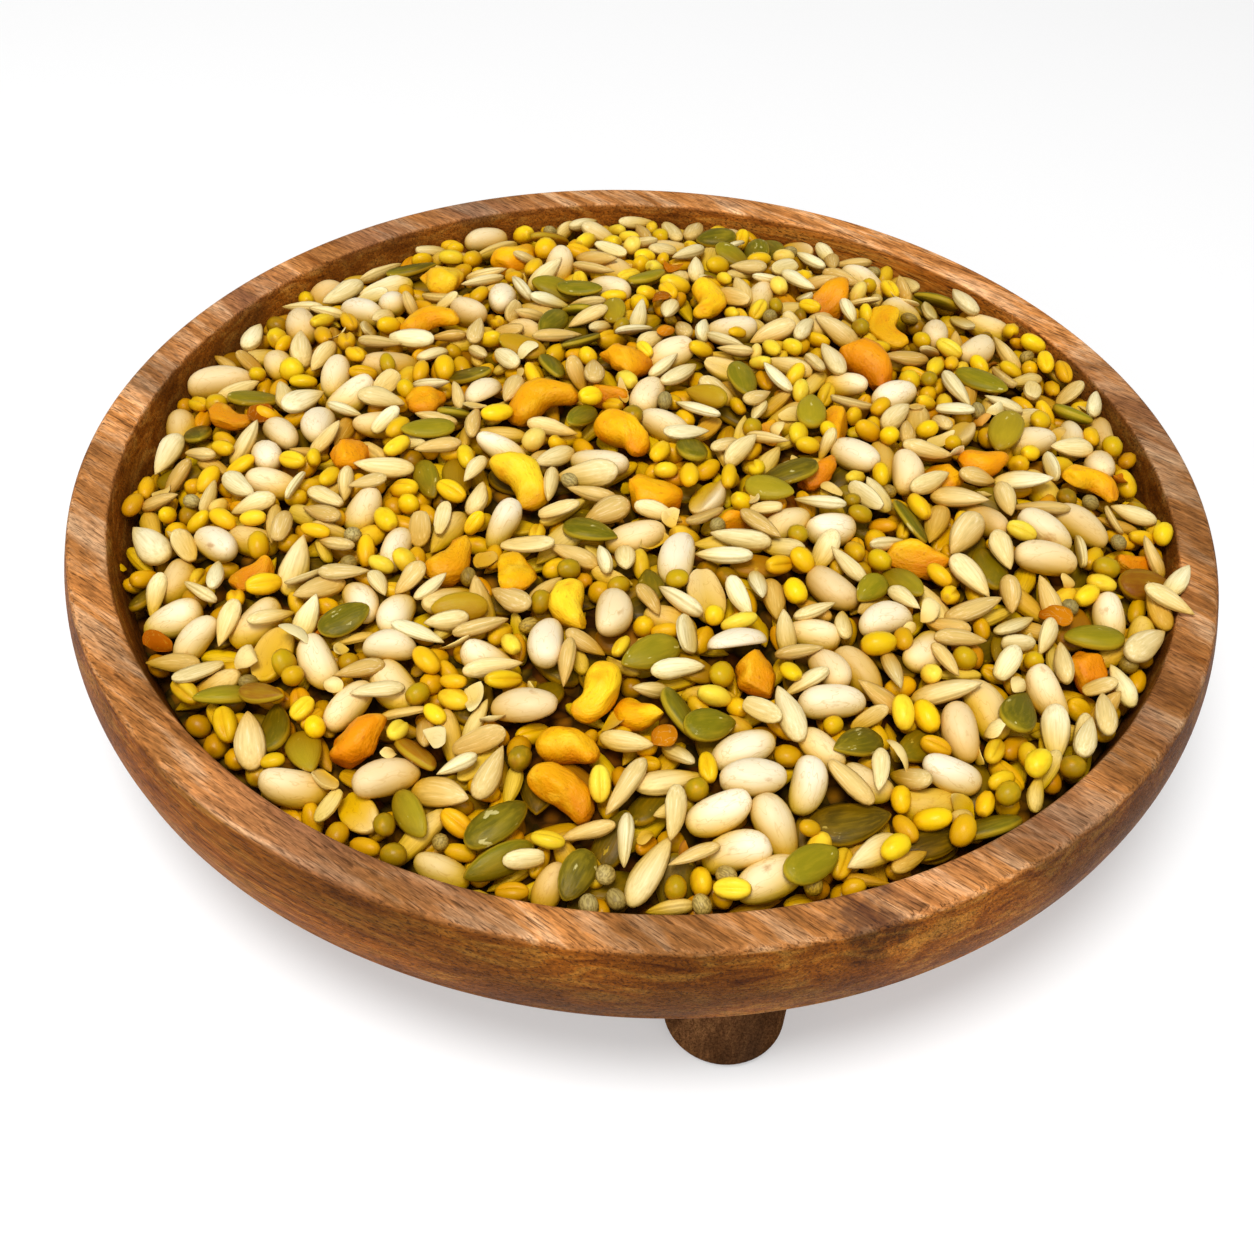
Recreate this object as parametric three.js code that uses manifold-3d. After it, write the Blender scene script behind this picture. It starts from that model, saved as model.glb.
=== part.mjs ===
// A shallow wooden bowl on three short turned feet, heaped with a mix of nuts, kernels and grains.
// Millimetres, +Z up. The origin is on the table, under the middle of the bowl.
import * as THREE from "three";
import { mergeVertices } from "three/addons/utils/BufferGeometryUtils.js";
import Module from "manifold-3d";

const wasm = await Module();
wasm.setup();

const DEG = Math.PI / 180;

// Driving dimensions of the bowl.
const RIM_RADIUS = 130; // outside of the rim
const RIM_WIDTH = 9; // flat top of the rim, from its inner to its outer edge
const HEIGHT = 55; // table to the top of the rim
const BAND_HEIGHT = 22.5; // upright outer wall under the rim
const BAND_BULGE = 1.5; // how far that wall swells out halfway down
const BAND_TUCK = 0.4; // how much narrower than the rim its lower edge is
const BODY_DEPTH = 34.5; // top of the rim to the flat underside
const UNDERSIDE_RADIUS = 84; // flat middle of the underside
const BELLY_RADIUS = 121; // where the rounded underside would turn up, were it a sharp corner
const CAVITY_DEPTH = 27; // top of the rim to the floor inside
const FLOOR_RADIUS = 92; // flat part of that floor
const WALL_LEAN = 17 * DEG; // inner wall, out of upright
const WALL_DEPTH = 17; // straight part of the inner wall
const FILLET_REACH = 4; // the rounded corner at the wall's foot draws in by this much
const EDGE_ROUND = 2.2; // outer edges of the rim and of the band
const EDGE_BREAK = 0.8; // small bevel on the rim's inner edge
const BOWL_SIDES = 56;
const CURVE_STEPS = 4; // straight steps in a rounded stretch of an outline

// Driving dimensions of the feet, which are pegs glued to the underside.
const FOOT_COUNT = 3;
const FOOT_CIRCLE = 108.5; // their centres' distance from the middle
const FOOT_RADIUS = 13.2; // at the top
const FOOT_TAPER = 0.6; // narrower than that at the base
const FOOT_EDGE = 3; // rounded edge of the base
const FRONT_FOOT = -78 * DEG; // direction of the first foot
const FOOT_SIDES = 20;
const FOOT_STEPS = 2; // straight steps in that rounded edge

const GAP = 0.4; // between neighbouring solids

// Driving dimensions of the heap. Its top is a low dome, highest against the wall at +X.
const EDGE_DROP = 4.5; // rim down to the heap's edge
const EDGE_LEAN = 1.2; // that edge is higher at +X by this much, and lower at -X
const DOME_RISE = 12; // edge of the heap up to its middle
const DOME_POWER = 4;
const SWELL = 1.1; // broad unevenness of the top
const CORE_DEPTH = 3; // the core's top lies this far under the heap's
const CORE_SIDES = 30;
const CORE_RINGS = 6;
const BITE = 0.36; // share of a piece's thickness that is sunk in the core
const TIP = 14 * DEG; // pieces are tipped out of the heap's slope by up to half of this
const SIZE_SPREAD = 0.2; // and are up to half of this share larger or smaller than their kind
const MOST_TRIES = 400; // at finding a free place for a piece
const SEED = 20240;

const UNDERSIDE_Z = HEIGHT - BODY_DEPTH;
const FLOOR_Z = HEIGHT - CAVITY_DEPTH;
const BAND_Z = HEIGHT - BAND_HEIGHT;
const INNER_RADIUS = RIM_RADIUS - RIM_WIDTH;

// What the heap is made of, largest first: length, width and thickness, how many show, and how
// near a neighbour may come, as a share of the two lengths.
const KINDS = [
  { shape: cashewShape, size: [18, 9, 8], count: 18, spacing: 0.85 },
  { shape: nutShape, size: [12.6, 9, 8.4], count: 44, spacing: 0.64 },
  { shape: flatShape, size: [13.2, 8.2, 3.8], count: 50, spacing: 0.58 },
  { shape: kernelShape, size: [11.8, 5.8, 5], count: 94, spacing: 0.53 },
];

// A seeded draw between 0 and 1 (mulberry32).
function seededDraw(seed) {
  let state = seed;
  return () => {
    state = (state + 0x6d2b79f5) | 0;
    let t = Math.imul(state ^ (state >>> 15), 1 | state);
    t = (t + Math.imul(t ^ (t >>> 7), 61 | t)) ^ t;
    return ((t ^ (t >>> 14)) >>> 0) / 4294967296;
  };
}

// three.js turns a profile round Y; here it stands on Z.
function latheOnZ(points, sides) {
  return new THREE.LatheGeometry(points, sides).rotateX(90 * DEG);
}

function toSolid(geometry) {
  const bare = geometry.clone();
  bare.deleteAttribute("normal");
  bare.deleteAttribute("uv");
  const merged = mergeVertices(bare, 1e-4);
  return new wasm.Manifold(
    new wasm.Mesh({
      numProp: 3,
      vertProperties: new Float32Array(merged.attributes.position.array),
      triVerts: new Uint32Array(merged.index.array),
    }),
  );
}

function toGeometry(solid) {
  const mesh = solid.getMesh();
  const geometry = new THREE.BufferGeometry();
  geometry.setAttribute("position", new THREE.BufferAttribute(mesh.vertProperties, 3));
  geometry.setIndex(new THREE.BufferAttribute(mesh.triVerts, 1));
  geometry.computeVertexNormals();
  return geometry;
}

// ---- bowl -----------------------------------------------------------------

// The underside, from its middle out to the foot of the upright band.
function traceUnderside(path, drop) {
  path.moveTo(0, UNDERSIDE_Z - drop);
  path.lineTo(UNDERSIDE_RADIUS, UNDERSIDE_Z - drop);
  const corner = RIM_RADIUS - BAND_TUCK - EDGE_ROUND;
  path.quadraticCurveTo(BELLY_RADIUS, UNDERSIDE_Z - drop, corner, BAND_Z - drop);
}

function bowlProfile() {
  const path = new THREE.Path();
  traceUnderside(path, 0);
  path.lineTo(RIM_RADIUS - BAND_TUCK, BAND_Z + EDGE_ROUND);
  const pull = RIM_RADIUS + 2 * BAND_BULGE;
  const middle = HEIGHT - BAND_HEIGHT / 2;
  path.quadraticCurveTo(pull, middle, RIM_RADIUS, HEIGHT - EDGE_ROUND);
  path.quadraticCurveTo(RIM_RADIUS, HEIGHT, RIM_RADIUS - EDGE_ROUND, HEIGHT);
  path.lineTo(INNER_RADIUS + EDGE_BREAK, HEIGHT);
  path.lineTo(INNER_RADIUS, HEIGHT - EDGE_BREAK);
  traceCavity(path, 0);
  return path.getPoints(CURVE_STEPS);
}

// The cavity, from just under the rim down to its middle, drawn in by an inset.
function traceCavity(path, inset) {
  const foot = INNER_RADIUS - WALL_DEPTH * Math.tan(WALL_LEAN);
  path.lineTo(foot - inset, HEIGHT - WALL_DEPTH);
  const corner = foot - inset - FILLET_REACH;
  path.quadraticCurveTo(corner, FLOOR_Z + inset, FLOOR_RADIUS, FLOOR_Z + inset);
  path.lineTo(0, FLOOR_Z + inset);
}

// Radius of the inner wall at a height above the table, along its straight part.
function wallRadius(z) {
  return INNER_RADIUS - (HEIGHT - z) * Math.tan(WALL_LEAN);
}

function bowlGeometry() {
  return latheOnZ(bowlProfile(), BOWL_SIDES);
}

// ---- feet -----------------------------------------------------------------

// One peg on the +X side, its top hollowed to sit against the rounded underside.
function footGeometry() {
  const base = FOOT_RADIUS - FOOT_TAPER;
  const path = new THREE.Path();
  path.moveTo(0, 0);
  path.lineTo(base - FOOT_EDGE, 0);
  path.quadraticCurveTo(base, 0, base, FOOT_EDGE);
  path.lineTo(FOOT_RADIUS, BAND_Z);
  path.lineTo(0, BAND_Z);
  const peg = latheOnZ(path.getPoints(FOOT_STEPS), FOOT_SIDES).translate(FOOT_CIRCLE, 0, 0);

  const blank = new THREE.Path();
  traceUnderside(blank, GAP);
  blank.lineTo(RIM_RADIUS, HEIGHT);
  blank.lineTo(0, HEIGHT);
  const body = latheOnZ(blank.getPoints(CURVE_STEPS), BOWL_SIDES);
  return toGeometry(toSolid(peg).subtract(toSolid(body)));
}

// ---- heap -----------------------------------------------------------------

// Height of the heap's top above the table, averaged over its pieces.
function heapTop(x, y) {
  const share = Math.min(1, Math.hypot(x, y) / INNER_RADIUS);
  const lean = (EDGE_LEAN * x) / INNER_RADIUS;
  const swell = SWELL * (1 - share) * (Math.sin(x / 19 + 0.6) + Math.cos(y / 23 - 0.4));
  return HEIGHT - EDGE_DROP + lean + DOME_RISE * (1 - share ** DOME_POWER) + swell;
}

// The heap's inside: it fills the cavity and ends in a smooth dome under the pieces.
function coreGeometry() {
  const path = new THREE.Path();
  path.moveTo(wallRadius(HEIGHT - EDGE_DROP) - GAP, HEIGHT - EDGE_DROP);
  traceCavity(path, GAP);
  const below = path.getPoints(CURVE_STEPS).reverse();
  const edge = below.pop();
  const above = [];
  for (let ring = 0; ring <= CORE_RINGS; ring += 1) {
    above.push(new THREE.Vector2(edge.x * Math.sqrt(1 - ring / CORE_RINGS), 0));
  }
  const core = latheOnZ([...below, ...above], CORE_SIDES);

  const position = core.attributes.position;
  const rows = below.length + above.length;
  for (let i = 0; i < position.count; i += 1) {
    if (i % rows < below.length) continue;
    const x = position.getX(i);
    const y = position.getY(i);
    const z = heapTop(x, y) - CORE_DEPTH;
    const reach = Math.hypot(x, y);
    const limit = Math.min(1, (wallRadius(z) - GAP) / Math.max(reach, 1));
    position.setXYZ(i, x * limit, y * limit, z);
  }
  return core;
}

// Each shape below is one unit long in every direction, with X as its length.

// A curved nut, thicker at one end.
function cashewShape() {
  const nut = new THREE.SphereGeometry(0.5, 5, 5).rotateZ(90 * DEG);
  const position = nut.attributes.position;
  for (let i = 0; i < position.count; i += 1) {
    const x = position.getX(i);
    const fat = 1 - 0.35 * x;
    const bend = 1.3 * x * x;
    position.setXYZ(i, x, position.getY(i) * fat + bend, position.getZ(i) * fat);
  }
  return nut;
}

// A rounded nut or bean.
function nutShape() {
  return new THREE.SphereGeometry(0.5, 5, 3).rotateZ(90 * DEG);
}

// A flat oval kernel.
function flatShape() {
  const half = [
    new THREE.Vector2(0, -0.5),
    new THREE.Vector2(0.5, 0),
    new THREE.Vector2(0.36, 0.4),
    new THREE.Vector2(0, 0.5),
  ];
  return latheOnZ(half, 6);
}

// A teardrop kernel, blunt at one end and pointed at the other.
function kernelShape() {
  const half = [
    new THREE.Vector2(0, -0.5),
    new THREE.Vector2(0.46, -0.28),
    new THREE.Vector2(0.36, 0.18),
    new THREE.Vector2(0, 0.5),
  ];
  return latheOnZ(half, 4).rotateY(90 * DEG);
}

// How far an oval reaches from its middle in one direction, both measured from its long axis.
function ovalReach(length, width, angle) {
  return Math.hypot((length / 2) * Math.cos(angle), (width / 2) * Math.sin(angle));
}

// A spot for one piece that is clear of the earlier ones, or null when the tries run out.
function findSpot(kind, length, placed, draw) {
  for (let attempt = 0; attempt < MOST_TRIES; attempt += 1) {
    const direction = 360 * DEG * draw();
    const yaw = 360 * DEG * draw();
    const reach = ovalReach(length, kind.size[1], yaw - direction);
    const outermost = wallRadius(HEIGHT - EDGE_DROP - EDGE_LEAN - CORE_DEPTH) - GAP - reach;
    const radius = outermost * Math.sqrt(draw());
    const x = radius * Math.cos(direction);
    const y = radius * Math.sin(direction);
    const clear = placed.every((other) => {
      const apart = Math.hypot(x - other.x, y - other.y);
      return apart > (kind.spacing * (length + other.length)) / 2;
    });
    if (clear) return { x, y, yaw, length };
  }
  return null;
}

// The matrix that lays a unit shape on the heap, tipped with the dome and a little at random.
function layOnHeap(kind, spot, draw) {
  const step = 1;
  const slopeX = (heapTop(spot.x + step, spot.y) - heapTop(spot.x - step, spot.y)) / (2 * step);
  const slopeY = (heapTop(spot.x, spot.y + step) - heapTop(spot.x, spot.y - step)) / (2 * step);
  const normal = new THREE.Vector3(-slopeX, -slopeY, 1).normalize();
  const scale = spot.length / kind.size[0];
  const thickness = kind.size[2] * scale;

  const size = new THREE.Vector3(...kind.size).multiplyScalar(scale);
  const up = new THREE.Vector3(0, 0, 1);
  const onDome = new THREE.Quaternion().setFromUnitVectors(up, normal);
  const tip = new THREE.Euler(TIP * (draw() - 0.5), TIP * (draw() - 0.5), spot.yaw);
  const turn = onDome.multiply(new THREE.Quaternion().setFromEuler(tip));
  const coreTop = heapTop(spot.x, spot.y) - CORE_DEPTH;
  const middle = new THREE.Vector3(spot.x, spot.y, coreTop + thickness * (0.5 - BITE));
  return new THREE.Matrix4().compose(middle, turn, size);
}

// The pieces that show, drawn kind by kind with the largest first.
function heapPieces() {
  const draw = seededDraw(SEED);
  const placed = [];
  const pieces = [];
  for (const kind of KINDS) {
    for (let i = 0; i < kind.count; i += 1) {
      const length = kind.size[0] * (1 + SIZE_SPREAD * (draw() - 0.5));
      const spot = findSpot(kind, length, placed, draw);
      if (!spot) break;
      placed.push(spot);
      pieces.push(toSolid(kind.shape().applyMatrix4(layOnHeap(kind, spot, draw))));
    }
  }
  return pieces;
}

// The core and its pieces as one solid, without loose scraps or sealed hollows.
function mixGeometry() {
  const joined = wasm.Manifold.union([toSolid(coreGeometry()), ...heapPieces()]);
  const bodies = joined.decompose().sort((a, b) => b.volume() - a.volume());
  return toGeometry(bodies[0]);
}

// ---- the whole ------------------------------------------------------------

function named(name, geometry, color, roughness) {
  const material = new THREE.MeshStandardMaterial({ color, roughness, metalness: 0 });
  const mesh = new THREE.Mesh(geometry, material);
  mesh.name = name;
  return mesh;
}

function bowlOfMix() {
  const group = new THREE.Group();
  group.add(named("bowl", bowlGeometry(), 0x7a4726, 0.45));
  for (let i = 0; i < FOOT_COUNT; i += 1) {
    const foot = named(`foot_${i + 1}`, footGeometry(), 0x6b3c20, 0.5);
    foot.rotation.z = FRONT_FOOT + (i * 360 * DEG) / FOOT_COUNT;
    group.add(foot);
  }
  group.add(named("mix", mixGeometry(), 0xc9b183, 0.6));
  return group;
}

export default bowlOfMix();
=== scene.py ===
"""A wooden bowl on short feet, heaped with a mix of nuts, kernels and grains."""

import bpy
import numpy as np
from mathutils import Matrix, Vector


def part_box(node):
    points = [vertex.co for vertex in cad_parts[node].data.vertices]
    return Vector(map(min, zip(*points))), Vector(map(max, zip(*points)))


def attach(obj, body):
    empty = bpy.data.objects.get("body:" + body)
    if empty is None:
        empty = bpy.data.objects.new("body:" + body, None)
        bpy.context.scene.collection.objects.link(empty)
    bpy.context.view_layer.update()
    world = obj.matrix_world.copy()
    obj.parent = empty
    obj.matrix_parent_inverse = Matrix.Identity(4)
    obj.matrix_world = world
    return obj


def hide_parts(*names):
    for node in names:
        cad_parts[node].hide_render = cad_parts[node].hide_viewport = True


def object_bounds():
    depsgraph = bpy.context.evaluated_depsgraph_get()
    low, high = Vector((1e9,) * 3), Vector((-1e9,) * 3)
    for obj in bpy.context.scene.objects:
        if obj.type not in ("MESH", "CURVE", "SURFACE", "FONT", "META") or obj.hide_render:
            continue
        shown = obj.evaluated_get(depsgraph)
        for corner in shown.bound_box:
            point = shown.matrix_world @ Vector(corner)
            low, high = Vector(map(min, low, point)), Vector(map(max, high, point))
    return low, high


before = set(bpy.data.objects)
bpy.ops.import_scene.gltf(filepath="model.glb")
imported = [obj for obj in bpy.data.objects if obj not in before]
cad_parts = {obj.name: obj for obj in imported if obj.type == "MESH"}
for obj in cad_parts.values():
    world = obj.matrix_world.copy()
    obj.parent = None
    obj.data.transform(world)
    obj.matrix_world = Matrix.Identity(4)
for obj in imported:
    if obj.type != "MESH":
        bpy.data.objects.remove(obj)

MM = 0.001
DEG = np.pi / 180
SEED = 20240

# The CAD model's box, and in millimetres: the rim's flat top, the feet's ends, the heap's limit.
cad_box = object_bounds()
RIM_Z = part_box("bowl")[1].z / MM
FOOT_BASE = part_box("foot_1")[0].z / MM
HEAP_CEILING = cad_box[1].z / MM - 0.1

# ---- sizes of the bowl, millimetres ---------------------------------------

RIM_RADIUS = 130.0
RIM_WIDTH = 9.0
RIM_EDGE = 1.8  # rounding of the band's two edges
LIP_EDGE = 0.7  # rounding of the rim's inner edge
BAND_HEIGHT = 22.5
BAND_BULGE = 1.4  # how far the upright band swells out halfway down
BAND_TUCK = 0.4  # how much narrower than the rim its lower edge is
BODY_DEPTH = 34.5
UNDERSIDE_RADIUS = 84.0
BELLY_RADIUS = 121.0
CAVITY_DEPTH = 27.0
FLOOR_RADIUS = 92.0
WALL_LEAN = 17 * DEG
WALL_DEPTH = 17.0
FILLET_REACH = 4.0
INNER_RADIUS = RIM_RADIUS - RIM_WIDTH
WALL_FOOT = INNER_RADIUS - WALL_DEPTH * np.tan(WALL_LEAN)  # radius where the wall turns to the floor
DENTS = ((0.35, 3, 0.7), (0.2, 7, 2.1))  # of the outside: depth, number round it, phase
BOWL_SIDES = 360

FOOT_CIRCLE = 108.5
FOOT_RADIUS = 13.2
FOOT_TAPER = 0.6
FOOT_EDGE = 3.2  # rounding of its lower edge
FOOT_DROP = 2.0  # from the band's lower edge down to the foot's top
FOOT_SIDES = 64
FOOT_COUNT = 3
FRONT_FOOT = -78 * DEG

# The heap's top: a low dome, a little higher towards +X, with a slow swell.
EDGE_DROP = 4.5
EDGE_LEAN = 1.2
DOME_RISE = 12.0
DOME_POWER = 4
SWELL = 1.1
SWELL_X, SWELL_Y = 19, 23
WALL_GAP = 0.3  # left between the wood and what lies in it


# ---- meshes ----------------------------------------------------------------


def new_object(name, points, faces):
    """A smooth mesh object from points in millimetres and an array of equal-sided faces."""
    mesh = bpy.data.meshes.new(name)
    sides = faces.shape[1]
    mesh.vertices.add(len(points))
    mesh.vertices.foreach_set("co", (points * MM).astype(np.float32).ravel())
    mesh.loops.add(faces.size)
    mesh.loops.foreach_set("vertex_index", faces.astype(np.int32).ravel())
    mesh.polygons.add(len(faces))
    mesh.polygons.foreach_set("loop_start", np.arange(len(faces), dtype=np.int32) * sides)
    mesh.polygons.foreach_set("use_smooth", np.ones(len(faces), bool))
    mesh.update(calc_edges=True)
    mesh.validate()
    thing = bpy.data.objects.new(name, mesh)
    bpy.context.scene.collection.objects.link(thing)
    return thing


def point_attribute(thing, name, values):
    """Stores three numbers on each point, for the materials to read."""
    layer = thing.data.attributes.new(name, "FLOAT_VECTOR", "POINT")
    layer.data.foreach_set("vector", values.astype(np.float32).ravel())


def lathe(profile, turns, wobble=None):
    """Points and triangles of an outline turned round Z. It starts and ends on the axis.
    wobble moves the points: it gets their radius, height and angle, and gives radius and height."""
    radius, height = profile[1:-1].T
    angle = np.arange(turns) * 2 * np.pi / turns
    r = np.repeat(radius[None, :], turns, axis=0)
    z = np.repeat(height[None, :], turns, axis=0)
    a = np.repeat(angle[:, None], len(radius), axis=1)
    if wobble:
        r, z = wobble(r, z, a)
    rows = np.stack([r * np.cos(a), r * np.sin(a), z], axis=-1).reshape(-1, 3)
    ends = np.array([[0, 0, profile[0, 1]], [0, 0, profile[-1, 1]]])
    points = np.concatenate([rows, ends])
    n = len(radius)
    here = np.arange(turns)[:, None] * n + np.arange(n - 1)[None, :]
    there = (np.arange(turns)[:, None] + 1) % turns * n + np.arange(n - 1)[None, :]
    lower = np.stack([here, there, there + 1], axis=-1).reshape(-1, 3)
    upper = np.stack([here, there + 1, here + 1], axis=-1).reshape(-1, 3)
    first = np.arange(turns) * n
    after = (np.arange(turns) + 1) % turns * n
    bottom = np.stack([np.full(turns, len(rows)), after, first], axis=-1)
    top = np.stack([np.full(turns, len(rows) + 1), first + n - 1, after + n - 1], axis=-1)
    return points, np.concatenate([lower, upper, bottom, top])


def arc(centre, radius, start, end, steps):
    """Points on an arc, angles in degrees from +X."""
    a = np.linspace(start, end, steps + 1) * DEG
    return np.stack([centre[0] + radius * np.cos(a), centre[1] + radius * np.sin(a)], axis=-1)


def curve(start, corner, end, steps):
    """Points on a quadratic curve pulled towards a corner."""
    t = np.linspace(0, 1, steps + 1)[:, None]
    start, corner, end = map(np.asarray, (start, corner, end))
    return (1 - t) ** 2 * start + 2 * t * (1 - t) * corner + t**2 * end


def line(start, end, steps):
    t = np.linspace(0, 1, steps + 1)[:, None]
    return (1 - t) * np.asarray(start) + t * np.asarray(end)


def outline(*stretches):
    """Joins stretches of points, dropping the ones that repeat."""
    points = np.concatenate(stretches)
    keep = np.ones(len(points), bool)
    keep[1:] = np.linalg.norm(np.diff(points, axis=0), axis=1) > 1e-6
    return points[keep]


# ---- materials -------------------------------------------------------------


class Nodes:
    """Builds one material's node tree. An input takes a value, or a node or socket to link."""

    def __init__(self, name):
        self.material = bpy.data.materials.new(name)
        self.material.use_nodes = True
        self.tree = self.material.node_tree
        self.shader = self.tree.nodes["Principled BSDF"]

    def add(self, kind, inputs=None, **settings):
        """A node with its inputs and settings."""
        node = self.tree.nodes.new(kind)
        for key, value in settings.items():
            setattr(node, key, value)
        for key, value in (inputs or {}).items():
            self.put(node.inputs[key], value)
        return node

    def put(self, socket, value):
        if isinstance(value, bpy.types.NodeSocket):
            self.tree.links.new(value, socket)
        elif isinstance(value, bpy.types.Node):
            self.tree.links.new(value.outputs[0], socket)
        else:
            socket.default_value = value

    def set(self, **inputs):
        """Inputs of the shader, their names with _ for a space."""
        for key, value in inputs.items():
            self.put(self.shader.inputs[key.replace("_", " ")], value)

    def math(self, operation, a, b=0.0):
        return self.add("ShaderNodeMath", {0: a, 1: b}, operation=operation).outputs[0]

    def vector(self, operation, a, b, output="Vector"):
        return self.add("ShaderNodeVectorMath", {0: a, 1: b}, operation=operation).outputs[output]

    def apart(self, vector):
        """The three outputs of a vector, called X, Y and Z."""
        return self.add("ShaderNodeSeparateXYZ", {"Vector": vector}).outputs

    def coordinates(self, output="Object"):
        return self.add("ShaderNodeTexCoord").outputs[output]

    def attribute(self, name, output="Vector"):
        settings = {"attribute_name": name, "attribute_type": "GEOMETRY"}
        return self.add("ShaderNodeAttribute", **settings).outputs[output]

    def scaled(self, vector, scale, turn=0.0, move=(0, 0, 0)):
        """Coordinates turned round Z, then stretched."""
        turned = self.add("ShaderNodeMapping", {"Vector": vector, "Rotation": (0, 0, turn)})
        inputs = {"Vector": turned, "Scale": scale, "Location": move}
        return self.add("ShaderNodeMapping", inputs).outputs[0]

    def noise(self, vector, detail, rough, distortion=0.0):
        inputs = {"Vector": vector, "Scale": 1.0, "Detail": detail, "Roughness": rough}
        inputs["Distortion"] = distortion
        return self.add("ShaderNodeTexNoise", inputs).outputs["Fac"]

    def ramp(self, factor, stops):
        """A colour ramp; each stop is a place and an sRGB colour, or a place and a grey."""
        node = self.add("ShaderNodeValToRGB", {"Fac": factor})
        elements = node.color_ramp.elements
        while len(elements) < len(stops):
            elements.new(0.5)
        for element, (place, colour) in zip(elements, stops):
            element.position = place
            element.color = linear(colour)
        return node.outputs["Color"]

    def mix(self, factor, a, b, blend="MIX"):
        """Two colours mixed; a tuple is an sRGB colour."""
        node = self.add("ShaderNodeMix", data_type="RGBA", blend_type=blend)
        self.put(node.inputs["Factor"], factor)
        self.put(node.inputs["A"], linear(a) if isinstance(a, tuple) else a)
        self.put(node.inputs["B"], linear(b) if isinstance(b, tuple) else b)
        return node.outputs["Result"]

    def tint(self, base, colour):
        """A colour multiplied by another, or by a grey."""
        return self.mix(1.0, base, colour, "MULTIPLY")

    def bump(self, height, distance, strength=1.0):
        inputs = {"Height": height, "Distance": distance, "Strength": strength}
        return self.add("ShaderNodeBump", inputs).outputs[0]


def linear(colour):
    """An sRGB colour of 0 to 255, or a grey of 0 to 1, as linear RGBA."""
    if isinstance(colour, (int, float)):
        return (colour, colour, colour, 1.0)
    share = np.array(colour[:3]) / 255
    value = np.where(share <= 0.04045, share / 12.92, ((share + 0.055) / 1.055) ** 2.4)
    return (*value.tolist(), 1.0)


# ---- wood ------------------------------------------------------------------

# Noises: scale along the grain and in the two directions across it, detail, roughness, distortion.
ZONES = ((9, 22, 60), 3, 0.55, 0.6)
FIGURE = ((16, 90, 260), 5, 0.62, 1.6)
FIBRE = ((110, 900, 1600), 4, 0.7, 0.8)
PORES = ((230, 2800, 2800), 1, 0.5, 0.5)
FLECKS = ((340, 1900, 1900), 2, 0.6, 0.6)
PATCHES = ((11, 26, 26), 2, 0.5, 0.8)
CHECKS = ((10, 150, 420), 3, 0.6, 1.0)
PATCHES_MOVE = (0.13, 0.07, 0)
CHECKS_MOVE = (0.31, 0.17, 0)
GRAIN_TURN = 35 * DEG  # from +X

# The dark, middle and light of the figure, and the grey of the zones.
BOWL_TONES = ((121, 67, 21), (181, 119, 63), (224, 180, 136), (124, 87, 68))
# The feet's tones are the wood darkened as painted shade, as the feet stand in shadow.
FOOT_SHADE_TONES = ((62, 38, 20), (88, 57, 33), (112, 76, 44), (60, 40, 26))
PORE_COLOUR = (54, 28, 12)
CHECK_COLOUR = (44, 22, 8)
# Painted shade: what doesn't face up is darkened and warmed by this tint.
SIDE_SHADE_TINT = (183, 158, 85)  # of what doesn't face up
NO_TINT = (255, 255, 255)
WOOD_RELIEF = 0.0003

# The dark stain on the rim: its middle and how ragged its edge is, in metres.
STAIN_AT = (0.046, -0.1195, RIM_Z * MM)
STAIN_RAGGED = 0.022
STAIN_GRAIN = (240, 240, 240)
STAIN_COLOUR = (46, 32, 34)
CENTIMETRES = 100.0


def stain(n, where):
    """Share of the stain: most up to 3 mm from its middle, none from 10 mm on, ragged between."""
    away = n.vector("DISTANCE", where, STAIN_AT, "Value")
    ragged = n.noise(n.scaled(where, STAIN_GRAIN), 3, 0.6)
    reach = n.math("ADD", away, n.math("MULTIPLY", n.math("SUBTRACT", ragged, 0.5), STAIN_RAGGED))
    return n.ramp(n.math("MULTIPLY", reach, CENTIMETRES), [(0.3, 0.7), (1.0, 0.0)])


def grain(n, where, noise, move=(0, 0, 0)):
    """A noise drawn out along the grain."""
    scale, detail, rough, distortion = noise
    return n.noise(n.scaled(where, scale, GRAIN_TURN, move), detail, rough, distortion)


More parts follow.
